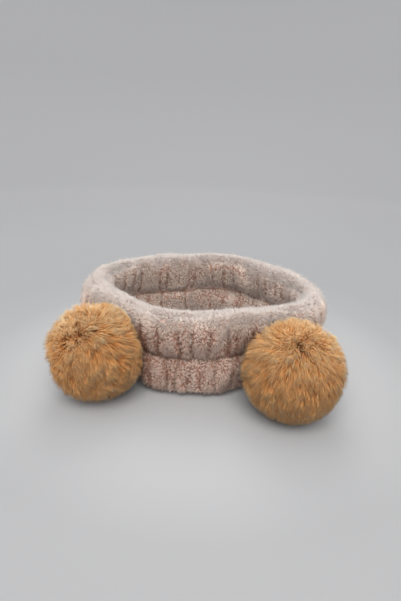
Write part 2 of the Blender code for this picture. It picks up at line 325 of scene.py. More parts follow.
# ---------------------------------------------------------------- materials
class Shader:
    """A material's node tree, with short ways to add and join nodes."""

    def __init__(self, name):
        self.material = bpy.data.materials.new(name)
        self.material.use_nodes = True
        self.tree = self.material.node_tree
        self.main = self.tree.nodes["Principled BSDF"]

    def node(self, kind, **values):
        made = self.tree.nodes.new(kind)
        for key, value in values.items():
            if key in made.inputs:
                made.inputs[key].default_value = value
            else:
                setattr(made, key, value)
        return made

    def join(self, source, target):
        self.tree.links.new(source, target)

    def ramp(self, factor, *stops):
        made = self.node("ShaderNodeValToRGB")
        elements = made.color_ramp.elements
        for index, (place, colour) in enumerate(stops):
            element = elements[index] if index < 2 else elements.new(place)
            element.position = place
            element.color = (*colour, 1.0)
        self.join(factor, made.inputs["Fac"])
        return made.outputs["Color"]

    def mix(self, kind, factor, first, second):
        made = self.node("ShaderNodeMix", data_type="RGBA", blend_type=kind)
        sockets = [s for s in made.inputs if s.type == "RGBA"]
        for socket, value in ((made.inputs[0], factor), (sockets[0], first), (sockets[1], second)):
            if isinstance(value, bpy.types.NodeSocket):
                self.join(value, socket)
            else:
                socket.default_value = value
        return [s for s in made.outputs if s.type == "RGBA"][0]

    def noise(self, scale, detail=3.0, stretch=(1, 1, 1)):
        place = self.node("ShaderNodeTexCoord")
        mapping = self.node("ShaderNodeMapping")
        mapping.inputs["Scale"].default_value = stretch
        self.join(place.outputs["Object"], mapping.inputs["Vector"])
        made = self.node("ShaderNodeTexNoise", Scale=scale, Detail=detail)
        self.join(mapping.outputs["Vector"], made.inputs["Vector"])
        return made.outputs["Fac"]

    def bump(self, height, strength, distance):
        made = self.node("ShaderNodeBump", Strength=strength, Distance=distance)
        self.join(height, made.inputs["Height"])
        self.join(made.outputs["Normal"], self.main.inputs["Normal"])


def strand_material(name, roots_to_tips, tone_range, roughness, sheen, see_through):
    """Colour runs along each strand and differs from strand to strand; light soaks through."""
    shader = Shader(name)
    layer = shader.node("ShaderNodeUVMap", uv_map="OFBake")
    parts = shader.node("ShaderNodeSeparateXYZ")
    shader.join(layer.outputs["UV"], parts.inputs["Vector"])
    colour = shader.ramp(parts.outputs["Y"], *roots_to_tips)
    tone = shader.ramp(parts.outputs["X"], *tone_range)
    strand_colour = shader.mix("MULTIPLY", 1.0, colour, tone)
    shader.join(strand_colour, shader.main.inputs["Base Color"])
    soaked = shader.node("ShaderNodeBsdfTranslucent")
    shader.join(strand_colour, soaked.inputs["Color"])
    both = shader.node("ShaderNodeMixShader", Fac=see_through)
    shader.join(shader.main.outputs["BSDF"], both.inputs[1])
    shader.join(soaked.outputs["BSDF"], both.inputs[2])
    shader.join(both.outputs["Shader"], shader.tree.nodes["Material Output"].inputs["Surface"])
    shader.main.inputs["Roughness"].default_value = roughness
    shader.main.inputs["Specular IOR Level"].default_value = 0.15
    shader.main.inputs["Sheen Weight"].default_value = sheen
    shader.main.inputs["Sheen Roughness"].default_value = 0.4
    return shader.material


# Heights over which the rim of the band is given painted top light.
PAINTED_TOP_LIGHT_HEIGHTS = (60 * MM, 71 * MM)


def cloth_material(name, dark, light, scale, stretch=(1, 1, 1), roughness=0.95, depth=0.2 * MM,
                   painted_top_light=None):
    """Matte fibres: mottled colour with a fine bump of the same grain, and, where given, a brighter
    colour towards the top as painted top light.
    """
    shader = Shader(name)
    grain = shader.noise(scale, 5.0, stretch)
    colour = shader.ramp(grain, (0.3, dark), (0.7, light))
    if painted_top_light:
        # Painted top light: blend to the given brighter colour between those heights.
        place = shader.node("ShaderNodeTexCoord")
        parts = shader.node("ShaderNodeSeparateXYZ")
        shader.join(place.outputs["Object"], parts.inputs["Vector"])
        share = shader.node("ShaderNodeMapRange", interpolation_type="SMOOTHSTEP")
        for end, height in zip(("From Min", "From Max"), PAINTED_TOP_LIGHT_HEIGHTS):
            share.inputs[end].default_value = height
        shader.join(parts.outputs["Z"], share.inputs["Value"])
        pale = shader.node("ShaderNodeRGB")
        pale.outputs["Color"].default_value = (*painted_top_light, 1.0)
        colour = shader.mix("MIX", share.outputs["Result"], colour, pale.outputs["Color"])
    shader.join(colour, shader.main.inputs["Base Color"])
    shader.main.inputs["Roughness"].default_value = roughness
    shader.main.inputs["Sheen Weight"].default_value = 0.3
    shader.bump(grain, 0.7, depth)
    return shader.material


# Painted shade: the backing is dark red-brown to stand for the shade deep between the tufts, though
# the fabric is pink throughout; towards the top it turns to a brighter colour as painted top light.
FLEECE_BACKING_PAINTED_SHADE = cloth_material("fleece_backing", (0.21, 0.105, 0.072), (0.34, 0.185, 0.13), 900,
                             painted_top_light=(0.44, 0.34, 0.30))
# Painted shade and light in the pile's colours. Along each fibre, the dark roots are painted shade
# deep in the pile; the fabric is pink throughout. Across tones, the red-brown at 0 is painted shade
# in furrows, at the crease and behind the ears, and the grey at 1 is painted top light that washes
# out the rim.
FLEECE_PILE = strand_material(
    "fleece_pile",
    ((0.0, (0.42, 0.23, 0.16)), (0.35, (0.85, 0.65, 0.56)), (1.0, (0.98, 0.93, 0.885))),
    ((0.0, (0.50, 0.27, 0.17)), (0.5, (0.98, 0.93, 0.895)), (0.68, (0.98, 0.93, 0.895)),
     (1.0, (0.74, 0.73, 0.74))),
    0.8, 0.1, 0.4)
FUR_SKIN = cloth_material("fur_backing", (0.48, 0.22, 0.08), (0.68, 0.36, 0.15), 700)
# Along each strand: deep orange roots to pale gold tips, partly the fur's own colour, partly
# painted shade deep in the fur and a painted highlight on the tips. Across tones, the bluish pale
# end is painted top light for strands that point up.
FUR_PILE = strand_material(
    "fur_pile",
    ((0.0, (0.50, 0.19, 0.05)), (0.45, (0.80, 0.36, 0.10)), (0.8, (0.93, 0.60, 0.27)),
     (1.0, (0.97, 0.83, 0.62))),
    ((0.0, (0.58, 0.42, 0.30)), (0.5, (0.97, 0.93, 0.86)), (1.0, (0.86, 0.96, 1.1))),
    0.6, 0.08, 0.4)
WADDING = cloth_material("wadding_fibre", (0.80, 0.78, 0.75), (0.95, 0.94, 0.92), 400)
ELASTIC = cloth_material("elastic_weave", (0.74, 0.72, 0.69), (0.92, 0.91, 0.89), 900, (1, 1, 4))
THREAD = cloth_material("sewing_thread", (0.55, 0.34, 0.30), (0.80, 0.60, 0.55), 2500,
                        (1, 1, 2), 0.7, 0.05 * MM)
FELT = cloth_material("tan_felt", (0.48, 0.28, 0.14), (0.74, 0.50, 0.29), 1100)
PATCH = cloth_material("white_felt", (0.74, 0.70, 0.67), (0.90, 0.86, 0.83), 1100)


# ---------------------------------------------------------------- the padded band
def roll_arc(roll, first, last, count):
    """Points round one padded roll, from one side of the crease to the other."""
    centre, half_width, half_height = roll
    turns = np.radians(np.linspace(first, last, count))
    power = 2 / ROLL_SQUARENESS
    out = np.sign(np.cos(turns)) * np.abs(np.cos(turns)) ** power * half_width
    up = np.sign(np.sin(turns)) * np.abs(np.sin(turns)) ** power * half_height
    return np.stack((out, centre + up), axis=-1)


def band_section():
    upper = roll_arc(UPPER_ROLL, -56, 236, 36)
    lower = roll_arc(LOWER_ROLL, 124, 416, 30)
    inner_crease = [[-CREASE_HALF_DEPTH, CREASE_HEIGHT]]
    outer_crease = [[CREASE_HALF_DEPTH, CREASE_HEIGHT]]
    section = np.concatenate((outer_crease, upper, inner_crease, lower))
    section[:, 1] = np.maximum(section[:, 1], FOOT_HEIGHT)
    return section


def band_grid(section):
    angles = np.arange(COLUMNS) * TAU / COLUMNS
    shape = (COLUMNS, len(section))
    angle = np.broadcast_to(angles[:, None], shape)
    out = np.broadcast_to(section[None, :, 0], shape)
    height = np.broadcast_to(section[None, :, 1], shape)
    return band_point(angle, out, height)


def puff_up(grid, section):
    """Blow the cover up like padding with the cloth solver, held along crease and foot."""
    mesh = grid_mesh("padding_simulation", grid)
    made = link(mesh, "padding_simulation", FLEECE_BACKING_PAINTED_SHADE)
    held = made.vertex_groups.new(name="held")
    rows = grid.shape[1]
    at_crease = np.abs(section[:, 1] - CREASE_HEIGHT) < 1e-6
    at_foot = section[:, 1] < FOOT_HEIGHT + 0.2 * MM
    for row in np.nonzero(at_crease | at_foot)[0]:
        held.add([int(column * rows + row) for column in range(COLUMNS)], 1.0, "REPLACE")
    cloth = made.modifiers.new("padding", "CLOTH")
    cloth.settings.quality = 5
    cloth.settings.mass = 0.2
    cloth.settings.tension_stiffness = 8
    cloth.settings.compression_stiffness = 8
    cloth.settings.bending_stiffness = 0.2
    cloth.settings.shrink_min = -0.05
    cloth.settings.use_pressure = True
    cloth.settings.uniform_pressure_force = PADDING_PRESSURE
    cloth.settings.effector_weights.gravity = 0
    cloth.settings.vertex_group_mass = "held"
    scene = bpy.context.scene
    for step in range(1, SIMULATED_FRAMES + 1):
        scene.frame_set(step)
    evaluated = made.evaluated_get(bpy.context.evaluated_depsgraph_get())
    points = np.zeros(len(mesh.vertices) * 3, np.float32)
    evaluated.data.vertices.foreach_get("co", points)
    bpy.data.objects.remove(made, do_unlink=True)
    scene.frame_set(1)
    moved = points.reshape(grid.shape) - grid
    normals = grid_normals(grid)
    swell = np.sum(moved * normals, axis=-1, keepdims=True)
    slip = moved - swell * normals
    slip_size = np.linalg.norm(slip, axis=-1, keepdims=True)
    slip = slip * np.minimum(1, PADDING_SLIP / np.maximum(slip_size, 1e-9))
    return grid + slip + normals * np.clip(swell, -PADDING_SINK, PADDING_SWELL)


def refine(values):
    """One step of smooth subdivision of a ring-shaped grid, along both directions."""
    for axis in (0, 1):
        before, after = np.roll(values, 1, axis=axis), np.roll(values, -1, axis=axis)
        even = (before + 6 * values + after) / 8
        odd = (values + after) / 2
        shape = list(values.shape)
        shape[axis] *= 2
        values = np.stack((even, odd), axis=axis + 1).reshape(shape)
    return values


def grid_normals(grid):
    along = np.roll(grid, -1, axis=0) - np.roll(grid, 1, axis=0)
    round_section = np.roll(grid, -1, axis=1) - np.roll(grid, 1, axis=1)
    return unit(np.cross(along, round_section))


class Grooves:
    """Upright furrows where the ribbed fleece folds: chosen ones, and irregular ones elsewhere."""

    def __init__(self, seed, chosen, spacing=(9 * MM, 17 * MM)):
        rng = np.random.default_rng(seed)
        chosen = np.radians(chosen)
        places = [0.0]
        while places[-1] < TAU:
            places.append(places[-1] + rng.uniform(*spacing) / RING_LENGTH * TAU)
        places = np.array(places[:-1])
        margin = 6 * MM / RING_LENGTH * TAU
        elsewhere = places[(places < chosen.min() - margin) | (places > chosen.max() + margin)]
        self.places = np.concatenate((chosen, elsewhere))
        count = len(self.places)
        self.depths = rng.uniform(0.5, 1.0, count)
        self.depths[:len(chosen)] = rng.uniform(0.85, 1.0, len(chosen))
        self.slants = rng.uniform(-1.2, 1.2, count) * MM / RING_RADIUS
        self.middles = rng.uniform(-0.3, 0.3, count)
        self.reaches = rng.uniform(0.7, 1.2, count)

    def offset(self, angle, climb):
        """Distance to the nearest furrow in metres, and how deep that furrow is there."""
        best = np.full(angle.shape, 1.0)
        depth = np.zeros(angle.shape)
        for place, deep, slant, middle, reach in zip(
                self.places, self.depths, self.slants, self.middles, self.reaches):
            line = place + slant * np.sin(2.2 * climb + 40 * place)
            away = turn_from(angle, line) * RING_LENGTH / TAU
            here = deep * np.exp(-((climb - middle) / reach) ** 2)
            nearer = np.abs(away) < np.abs(best)
            best = np.where(nearer, away, best)
            depth = np.where(nearer, here, depth)
        return best, depth


GROOVE_SETS = {
    ("outer", "upper"): Grooves(11, (246, 255, 265, 271, 280, 291)),
    ("outer", "lower"): Grooves(12, (259, 264, 270, 277, 284)),
    ("inner", "upper"): Grooves(13, (27, 38, 46, 71, 80, 107, 111, 128, 133, 148, 154, 163)),
    ("inner", "lower"): Grooves(14, (52, 66, 79, 98, 113, 131)),
}


def groove_field(angle, out, height):
    """Distance and depth of the nearest furrow on whichever wall and roll a point is."""
    distance = np.full(angle.shape, 1.0)
    depth = np.zeros(angle.shape)
    for (wall, roll), grooves in GROOVE_SETS.items():
        centre, _, half_height = UPPER_ROLL if roll == "upper" else LOWER_ROLL
        on_wall = (out > 0) if wall == "outer" else (out <= 0)
        on_roll = (height >= CREASE_HEIGHT) if roll == "upper" else (height < CREASE_HEIGHT)
        climb = (height - centre) / half_height
        away, deep = grooves.offset(angle, climb)
        here = on_wall & on_roll
        distance = np.where(here, away, distance)
        depth = np.where(here, deep, depth)
    return distance, depth


def seam_distance(angle):
    """Distance in metres from the seam that joins the fleece tube's ends."""
    return turn_from(angle, JOIN_ANGLE) * RING_LENGTH / TAU


def band_places(section):
    """Angle, out and height of each grid point before the padding swells."""
    shape = (COLUMNS, len(section))
    angle = np.arange(COLUMNS) * TAU / COLUMNS
    turn = np.broadcast_to(np.exp(1j * angle)[:, None], shape)
    out = np.broadcast_to(section[None, :, 0], shape)
    height = np.broadcast_to(section[None, :, 1], shape)
    return turn, out, height


def make_wadding(grid, section):
    """The two strips of wadding, cut open at the join, just inside the cover."""
    below = section[:, 1] < CREASE_HEIGHT - 2 * MM
    above = section[:, 1] > CREASE_HEIGHT + 2 * MM
    rows = {"lower_padding": np.repeat(below, 2), "upper_padding": np.repeat(above, 2)}
    inset = grid - grid_normals(grid) * WADDING_INSET
    join = int(round(JOIN_ANGLE / TAU * len(grid)))
    made = {}
    for node, chosen in rows.items():
        strip = np.roll(inset[:, chosen], -join, axis=0)[2:-1:2, ::2]
        columns, count, _ = strip.shape
        index = np.arange(columns * count).reshape(columns, count)
        here, there = index[:-1], index[1:]
        faces = np.stack((here, there, np.roll(there, -1, axis=1), np.roll(here, -1, axis=1)),
                         axis=-1).reshape(-1, 4)
        faces = [tuple(int(i) for i in face) for face in faces]
        faces += [tuple(int(i) for i in index[0]), tuple(int(i) for i in index[-1][::-1])]
        name = node.replace("padding", "wadding_strip")
        mesh = bpy.data.meshes.new(name)
        mesh.from_pydata(strip.reshape(-1, 3).tolist(), [], faces)
        mesh.shade_smooth()
        made[node] = link(mesh, name, WADDING)
    return made


def bulges(angle, out, height):
    """How far the outer wall is squeezed out, at the left side and at the lower corners."""
    beside = bell(turn_from(angle, SIDE_BULGE_ANGLE), SIDE_BULGE_HALF_ANGLE)
    spread = SIDE_BULGE * beside * bell(height - SIDE_BULGE_HEIGHT, SIDE_BULGE_HALF_HEIGHT)
    low = 1 - smooth_step(18 * MM, 42 * MM, height)
    for corner_angle, half_angle, reach in CORNER_BULGES:
        spread += reach * low * bell(turn_from(angle, corner_angle), half_angle)
    return spread * smooth_step(0, 9 * MM, out)


def make_band():
    """The fleece's backing: padded rolls, furrows and lumps. Returns what the pile needs."""
    section = band_section()
    grid = band_grid(section)
    grid = puff_up(grid, section)
    turn, out, height = band_places(section)
    turn, out, height = refine(turn), refine(out), refine(height)
    angle = np.angle(turn) % TAU
    grid = refine(grid)
    normals = grid_normals(grid)
    distance, depth = groove_field(angle, out, height)
    furrow = depth * bell(distance, GROOVE_HALF_WIDTH) * GROOVE_DEPTH
    furrow = np.maximum(furrow, SEAM_DEPTH * bell(seam_distance(angle), GROOVE_HALF_WIDTH))
    on_rim = rim_share(height)
    lumps = 0.5 * MM * wave_noise(grid, 16 * MM, 21) + 0.2 * MM * wave_noise(grid, 6 * MM, 22)
    change = (lumps * (1 - 0.5 * on_rim) - furrow * (1 - on_rim)) * smooth_step(0, 8 * MM, height)
    sideways = np.stack((turn.real, turn.imag, 0 * out), axis=-1)
    spread = bulges(angle, out, height)
    grid = grid + normals * change[..., None] + unit(sideways) * spread[..., None]
    grid[..., 2] = np.maximum(grid[..., 2], 0.5 * FOOT_HEIGHT)
    made = link(grid_mesh("fleece_backing", grid), "fleece_backing", FLEECE_BACKING_PAINTED_SHADE)
    inner_pieces = {**make_wadding(grid, section), **make_stitches(grid, section)}
    return made, (grid, angle, out, height), inner_pieces


def stitch_rings(line, lift, first, span, steps=7, sides=6):
    """One lock stitch as rings of points: it rises in the middle and dips at its ends."""
    columns = len(line)
    centres, radii, outs = [], [], []
    for step in range(steps):
        share = step / (steps - 1)
        low, part = divmod(first + span * share, 1)
        low, high = int(low) % columns, (int(low) + 1) % columns
        rise = STITCH_RADIUS * (2.2 * math.sin(math.pi * share) - 0.6)
        out = unit(lift[low])
        centres.append(line[low] * (1 - part) + line[high] * part + out * rise)
        radii.append(STITCH_RADIUS * (0.35 + 0.65 * math.sin(math.pi * share) ** 0.5))
        outs.append(out)
    rings = []
    for step in range(steps):
        ahead = unit(centres[min(step + 1, steps - 1)] - centres[max(step - 1, 0)])
        side = unit(np.cross(ahead, outs[step]))
        other = np.cross(ahead, side)
        turns = [TAU * k / sides for k in range(sides)]
        rings.append([centres[step] + radii[step] * (math.cos(turn) * side + math.sin(turn) * other)
                      for turn in turns])
    return rings


def make_stitches(grid, section):
    """Single lock stitches along the bottom of both creases."""
    rows = np.nonzero(np.abs(section[:, 1] - CREASE_HEIGHT) < 1e-6)[0] * 2
    normals = grid_normals(grid)
    made = {}
    for node, row in zip(("crease_stitch_outer", "crease_stitch_inner"), rows):
        line, lift = grid[:, row], normals[:, row]
        columns = len(line)
        count = int(RING_LENGTH / STITCH_PITCH)
        span = STITCH_LENGTH / RING_LENGTH * columns
        points, faces = [], []
        for stitch in range(count):
            rings = stitch_rings(line, lift, stitch / count * columns, span)
            sides = len(rings[0])
            starts = [len(points) + step * sides for step in range(len(rings))]
            points += [tuple(point) for ring in rings for point in ring]
            for a, b in zip(starts, starts[1:]):
                for k in range(sides):
                    n = (k + 1) % sides
                    faces.append((a + k, a + n, b + n, b + k))
            faces.append(tuple(starts[0] + k for k in reversed(range(sides))))
            faces.append(tuple(starts[-1] + k for k in range(sides)))
        name = node.replace("stitch_", "lock_stitches_")
        mesh = bpy.data.meshes.new(name)
        mesh.from_pydata(points, [], faces)
        mesh.shade_smooth()
        made[node] = link(mesh, name, THREAD)
    return made


# ---------------------------------------------------------------- fleece pile
def cell_areas(grid):
    over, up = np.roll(grid, -1, axis=0), np.roll(grid, -1, axis=1)
    across = np.roll(over, -1, axis=1)
    return 0.5 * np.linalg.norm(np.cross(across - grid, up - over), axis=-1)


def grid_area(grid):
    return cell_areas(grid).sum()


def sample_grid(grid, extras, density, rng):
    """Random places on the grid by area: position, normal and each extra value there."""
    columns, rows, _ = grid.shape
    normals = grid_normals(grid)
    area = cell_areas(grid)
    chance = area.ravel() / area.sum()
    count = int(area.sum() / MM ** 2 * density)
    cell = rng.choice(chance.size, size=count, p=chance)
    i, j = np.divmod(cell, rows)
    u, v = rng.random(count), rng.random(count)

    def blend(values):
        a = values[i, j]
        b = values[(i + 1) % columns, j]
        c = values[(i + 1) % columns, (j + 1) % rows]
        d = values[i, (j + 1) % rows]
        shape = (count,) + (1,) * (a.ndim - 1)
        s, t = u.reshape(shape), v.reshape(shape)
        return (1 - t) * ((1 - s) * a + s * b) + t * ((1 - s) * d + s * c)

    return blend(grid), unit(blend(normals)), [blend(extra) for extra in extras]


def gather(points, centres):
    """The nearest centre of each point."""
    tree = KDTree(len(centres))
    for index, centre in enumerate(centres):
        tree.insert(centre, index)
    tree.balance()
    return np.array([tree.find(point)[1] for point in points])


def rim_share(height):
    """0 on the walls and 1 round the smooth top of the band."""
    return smooth_step(*RIM_BAND, height)


class PilePlaces:
    """Where a coat's fibres stand on the band, and what is near each of them, from 0 to 1."""

    def __init__(self, surface, density, rng):
        grid, angle, out, height = surface
        self.roots, self.normals, (turn, self.out, self.height) = sample_grid(
            grid, [np.exp(1j * angle), out, height], density, rng)
        self.angle = np.angle(turn) % TAU
        self.on_rim = rim_share(self.height)
        self.furrow_distance, self.furrow_depth = groove_field(self.angle, self.out, self.height)
        self.to_seam = seam_distance(self.angle)
        off_rim, parting_width = 1 - self.on_rim, 1.3 * GROOVE_HALF_WIDTH
        self.furrow = off_rim * self.furrow_depth * bell(self.furrow_distance, parting_width)
        self.seam = off_rim * bell(self.to_seam, parting_width)
        self.parting = np.maximum(self.furrow, self.seam)
        # Painted shade on the pile on either side of each furrow.
        self.painted_furrow_shade = off_rim * self.furrow_depth * bell(
            self.furrow_distance, FURROW_SHADE_WIDTH)
        self.off_crease = smooth_step(
            0.6 * MM, 3.2 * MM, np.abs(self.height - CREASE_HEIGHT))
        self.off_foot = smooth_step(1.5 * MM, 7 * MM, self.height)
        # Painted shade on the pile just outside each ear.
        self.painted_ear_shade = np.where(self.out > 0, ear_shade(self.angle, self.height), 0)

    def lie(self, rng):
        """How each fibre leans: in patches, downhill, over the crease, off furrow and seam."""
        ahead = 2e-3
        along = unit(ring_offset(self.angle + ahead) - ring_offset(self.angle - ahead))
        lie = 0.7 * noise_vectors(self.roots, 11 * MM, 41) + np.array([0, 0, -0.35])
        for signed_distance, parting in (
                (self.furrow_distance, self.furrow), (self.to_seam, self.seam)):
            lie += along * (np.sign(signed_distance) * parting)[:, None]
        overhang = bell(self.height - CREASE_HEIGHT - 3 * MM, 3 * MM)
        lie -= np.array([0, 0, 1.2]) * overhang[:, None]
        lie += rng.normal(size=self.roots.shape) * (0.75 + 0.1 * self.on_rim)[:, None]
        return tangent_part(lie, self.normals)

    def shortened(self):
        """Furrows and the seam part the pile; the crease and the foot press it down."""
        return ((0.3 + 0.7 * self.off_crease) * (0.45 + 0.55 * self.off_foot)
                * (1 - 0.45 * self.parting))

    def tone_and_first_shade(self, spread):
        """Each fibre's tone, and where its root starts on the dark-rooted colour ramp. Painted
        light brightens the upper walls, the inner walls and the lower outer wall, and washes out
        the rim; painted shade darkens furrows, the seam, the crease and the pile behind the ears.
        """
        outside, inside = self.out > 0, self.out <= 0
        low_outside = outside & (self.height < CREASE_HEIGHT)
        # Painted top light: fibres high on the walls get brighter roots, and round the rim a
        # washed-out grey tint.
        upper_painted_light = smooth_step(np.where(outside, 46 * MM, 54 * MM), 66 * MM, self.height)
        rim_painted_light = smooth_step(*PAINTED_TOP_LIGHT_HEIGHTS, self.height)
        # Painted light also raises the tone of the lower outer wall and the inner walls.
        tone = spread + 0.08 * upper_painted_light + 0.3 * rim_painted_light + np.where(low_outside | inside, 0.06, 0.0)
        # Painted shade: darker in furrows and the seam, along the crease and behind the ears.
        tone -= (0.5 * self.parting + 0.3 * self.painted_furrow_shade + 0.3 * (1 - self.off_crease)
                 + 0.8 * self.painted_ear_shade)
        # Painted light lifts the roots' shade on the inner walls and the lower outer wall; painted
        # shadow keeps the roots dark beside furrows and behind the ears.
        painted_wall_light = np.where(low_outside, 0.3, np.where(inside, 0.65, 0.15))
        shadow = np.maximum(self.painted_furrow_shade, self.painted_ear_shade).clip(0, 1)
        first_shade = np.maximum(0.75 * upper_painted_light, painted_wall_light) * (1 - 0.8 * shadow)
        return np.clip(tone, 0.01, 0.99), first_shade

    def bareness(self):
        """How bare the backing is left along furrows and the seam."""
        bare = np.maximum(self.furrow_depth * bell(self.furrow_distance, GROOVE_HALF_WIDTH),
                          bell(self.to_seam, GROOVE_HALF_WIDTH))
        return 0.97 * np.sqrt(bare) * (1 - self.on_rim)

    def regions(self, in_regions):
        """Names of the band's regions, and which fibres stand in each."""
        outside, inside = self.out > 0, self.out <= 0
        rim, lower = self.height > 66 * MM, self.height < CREASE_HEIGHT
        places = {
            "rim": rim,
            "outer_upper": outside & ~lower & ~rim, "outer_lower": outside & lower,
            "inner_upper": inside & ~lower & ~rim, "inner_lower": inside & lower,
        } if in_regions else {"all_over": self.height >= 0}
        halves = {"front": self.angle >= math.pi, "back": self.angle < math.pi}
        return {f"{place}_{part}": there & half
                for place, there in places.items() for part, half in halves.items()}


def pile_layer(surface, coat, seed):
    """One coat of fibres over the whole band, gathered in tufts, as a piece for each region."""
    layer, density, length, radius, gathered, tone_shift, in_regions = coat
    rng = np.random.default_rng(seed)
    places = PilePlaces(surface, density, rng)
    roots, normals = places.roots, places.normals
    count = len(roots)
    lie = places.lie(rng)
    lengths = length * rng.normal(1, 0.16, count).clip(0.5, 1.4) * places.shortened()

    # Fibres lean to the tip of the tuft they stand in.
    tuft_count = min(int(grid_area(surface[0]) / TUFT_SPACING ** 2), count // 2)
    chosen = rng.choice(count, size=tuft_count, replace=False)
    own = gather(roots, roots[chosen])
    tips = roots + unit(normals + 0.6 * lie) * lengths[:, None]
    pull = gathered * rng.uniform(0.6, 1.2, count) * (1 - 0.35 * places.on_rim)
    tips += (tips[chosen][own] - tips) * pull[:, None]
    tips[:, 2] = np.maximum(tips[:, 2], 0.2 * MM)

    spread = 0.10 * rng.normal(size=tuft_count)[own] + 0.11 * rng.normal(size=count)
    spread = 0.55 + tone_shift + spread * (1 - 0.5 * places.on_rim)
    tone, first_shade = places.tone_and_first_shade(spread)
    keep = rng.random(count) > places.bareness()
    hint = unit(rng.normal(size=(count, 3)))
    width = radius * rng.uniform(0.75, 1.25, count)
    pieces = []
    for region, inside in places.regions(in_regions).items():
        fibres = np.nonzero(inside & keep)[0]
        lines = np.stack((roots[fibres] - normals[fibres] * ROOT_DEPTH, tips[fibres]), axis=1)
        name = f"fleece_{layer}_{region}"
        mesh = strand_mesh(name, lines, width[fibres, None], tone[fibres], hint[fibres],
                           first_shade[fibres])
        pieces.append(link(mesh, name, FLEECE_PILE))
    return pieces


def make_pile(surface):
    """The dense plush pile, and a thin halo of finer, longer fibres over it."""
    return [piece for seed, coat in enumerate(FLEECE_COATS, 31)
            for piece in pile_layer(surface, coat, seed)]


# ---------------------------------------------------------------- ears
class Ear:
    """One ear's ball: its middle, the axis it is tacked along, and where its back lies."""

    def __init__(self, side):
        low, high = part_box(f"{side}_stuffing")
        self.side = side
        self.middle = np.array((low + high) / 2)
        self.axis = unit(np.array(JOINTS[f"{side}_ear_twist"]["axis"]))
        self.back = np.array(JOINTS[f"{side}_ear_lean"]["pos_m"])

    def keep_clear(self, points):
        """Press points that would go into the band flat against it, and off the table."""
        reach = points - self.back
        along = reach @ self.axis
        away = reach - along[..., None] * self.axis
        radius = np.linalg.norm(away, axis=-1)
        limit = BACK_CONE_SLOPE * (radius - BACK_FLAT_RADIUS) + 0.6 * MM
        push = np.maximum(limit - along, 0)
        points = points + push[..., None] * self.axis
        points[..., 2] = np.maximum(points[..., 2], 0.3 * MM)
        return points


def fur_flow(directions, seed, nap):
    """Which way the fur lies: down with the nap, in slow swirls."""
    lie = tangent_part(nap + FUR_SWIRL * noise_vectors(directions, 0.9, seed), directions)
    return lie / (0.6 + 0.5 * np.linalg.norm(lie, axis=-1, keepdims=True))


def ball_directions(count, rng, axis):
    """Random directions from the ball's middle, except into the mouth at its back."""
    made = unit(rng.normal(size=(2 * count, 3)))
    clear_of_mouth = made @ axis > -math.cos(BARE_HALF_ANGLE)
    return made[clear_of_mouth][:count]


class Locks:
    """Where the fur's locks stand on one ball, which way each lies, its reach and its tone."""

    def __init__(self, ear, flow_seed, nap):
        rng = np.random.default_rng(flow_seed)
        self.roots = ball_directions(LOCK_COUNT, rng, ear.axis)
        scatter = LOCK_SCATTER * rng.normal(size=self.roots.shape)
        lie = fur_flow(self.roots, flow_seed, nap) + scatter
        self.ends = unit(self.roots + FUR_LEAN * lie)
        self.reach = rng.normal(1, 0.045, LOCK_COUNT)
        self.tone = rng.normal(size=LOCK_COUNT)


def make_fur(ear, coat, seed):
    """A coat of strands gathered into locks."""
    name, count, reach, gathered, radius, tone_shift = coat
    rng = np.random.default_rng(seed)
    nap = FUR_NAPS[ear.side]
    flow_seed = 60 + SIDES.index(ear.side) * 10
    locks = Locks(ear, flow_seed, nap)

    start = ball_directions(count, rng, ear.axis)
    own = gather(start, locks.roots)
    lie = fur_flow(start, flow_seed, nap) + STRAND_SCATTER * rng.normal(size=start.shape)
    free_end = unit(start + FUR_LEAN * lie)
    pull = (gathered * rng.uniform(0.4, 1.3, count)).clip(0, 0.95)[:, None]
    end = unit(free_end + (locks.ends[own] - free_end) * pull)
    lumps = 1 + 0.025 * wave_noise(end, 0.9, flow_seed + 5)
    tip_radius = FUR_TIP_RADIUS * reach * lumps * locks.reach[own] * rng.normal(1, 0.04, count)
    tip_radius = np.minimum(tip_radius, 1.07 * FUR_TIP_RADIUS)
    root = ear.middle + start * SKIN_RADIUS
    tip = ear.middle + end * tip_radius[:, None]
    bend = ear.middle + unit(0.75 * start + 0.25 * end) * (
        SKIN_RADIUS + 0.6 * (tip_radius - SKIN_RADIUS))[:, None]
    steps = np.array([0.0, 0.42, 0.76, 1.0])[None, :, None]
    lines = ((1 - steps) ** 2 * root[:, None] + 2 * steps * (1 - steps) * bend[:, None]
             + steps ** 2 * tip[:, None])
    lines = ear.keep_clear(lines)
    taper = np.array([0.9, 1.0, 0.6])[None]
    widths = radius * taper * rng.uniform(0.75, 1.3, count)[:, None]
    tone = 0.46 + tone_shift + 0.14 * locks.tone[own] + 0.15 * rng.normal(size=count)
    # Painted top light: strands that point up get a bluish, washed-out tone.
    tone += 0.4 * smooth_step(0.1, 0.9, end[:, 2])
    tone = np.clip(tone, 0.01, 0.99)
    name = f"{ear.side}_fur_{name}"
    mesh = strand_mesh(name, lines, widths, tone, unit(rng.normal(size=(count, 3))))
    return link(mesh, name, FUR_PILE)


